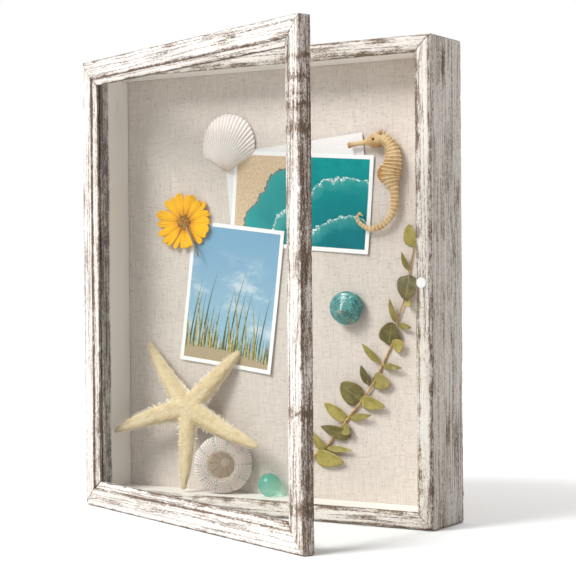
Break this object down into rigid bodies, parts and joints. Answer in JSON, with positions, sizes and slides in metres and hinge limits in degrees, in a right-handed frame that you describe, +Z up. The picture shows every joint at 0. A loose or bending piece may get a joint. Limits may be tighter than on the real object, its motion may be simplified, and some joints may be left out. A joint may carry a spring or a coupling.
{
  "type": "shadow box frame",
  "caption": "Front-opening shadow box frame in worn white painted wood: deep mitred case, linen pin board with seaside keepsakes, glazed hinged door with a magnetic catch.",
  "frame": {"origin": "centre of the case's bottom face", "axes": "+X to the right seen from the front, +Y to the back towards the wall, +Z up"},
  "size_m": [0.3308, 0.2002, 0.384],
  "materials": {
    "painted_case": "worn white paint, matt",
    "painted_door": "worn white paint, matt",
    "fibre_board": "raw fibre board",
    "hardboard": "smooth hardboard",
    "linen": "natural linen weave",
    "steel": "plain steel",
    "plated_steel": "nickel-plated steel",
    "felt": "felt",
    "catch_white": "gloss white",
    "door_pane": "clear float glass",
    "card_stock": "matt card",
    "print_stock": "satin photo card",
    "scallop": "satin shell",
    "petal": "dried petal",
    "dry_stem": "dried stem",
    "seahorse_skin": "dried skin",
    "turban": "satin shell",
    "leaf": "dried leaf",
    "starfish_skin": "granular and matt",
    "urchin": "beaded and matt",
    "sea_glass": "frosted sea glass"
  },
  "bodies": {
    "case": {"case_top": "painted_case", "case_bottom": "painted_case", "case_left": "painted_case", "case_right": "painted_case", "case_corner_nails": "steel", "pin_board": "fibre_board", "linen_cover": "linen", "back_panel": "hardboard", "back_points": "steel", "hanger_plate": "plated_steel", "hanger_nails": "steel", "wall_bumpers": "felt", "hinge_upper_case_leaf": "plated_steel", "hinge_lower_case_leaf": "plated_steel", "hinge_upper_pin": "plated_steel", "hinge_lower_pin": "plated_steel", "hinge_case_screws": "steel", "catch_barrel": "catch_white", "catch_magnet": "steel", "blank_card": "card_stock", "sea_print": "print_stock", "sky_print": "print_stock", "scallop_shell": "scallop", "flower_head": "petal", "flower_stem": "dry_stem", "seahorse": "seahorse_skin", "turban_shell": "turban", "eucalyptus_sprig": "leaf", "starfish": "starfish_skin", "urchin_test": "urchin", "sea_glass_ball": "sea_glass"},
    "door": {"door_top_rail": "painted_door", "door_bottom_rail": "painted_door", "door_left_stile": "painted_door", "door_right_stile": "painted_door", "door_corner_nails": "steel", "door_glass": "door_pane", "glass_stop_top": "painted_door", "glass_stop_bottom": "painted_door", "glass_stop_left": "painted_door", "glass_stop_right": "painted_door", "glass_stop_brads": "steel", "hinge_upper_door_leaf": "plated_steel", "hinge_lower_door_leaf": "plated_steel", "hinge_door_screws": "steel", "catch_strike": "steel", "catch_strike_screw": "steel"}
  },
  "joints": [
    {"name": "door_hinge", "type": "hinge", "parent": "case", "child": "door", "pos_m": [-0.1656, -0.0285, 0.192], "axis": [0, 0, -1], "range_deg": [-23.5, 156.5]}
  ]
}
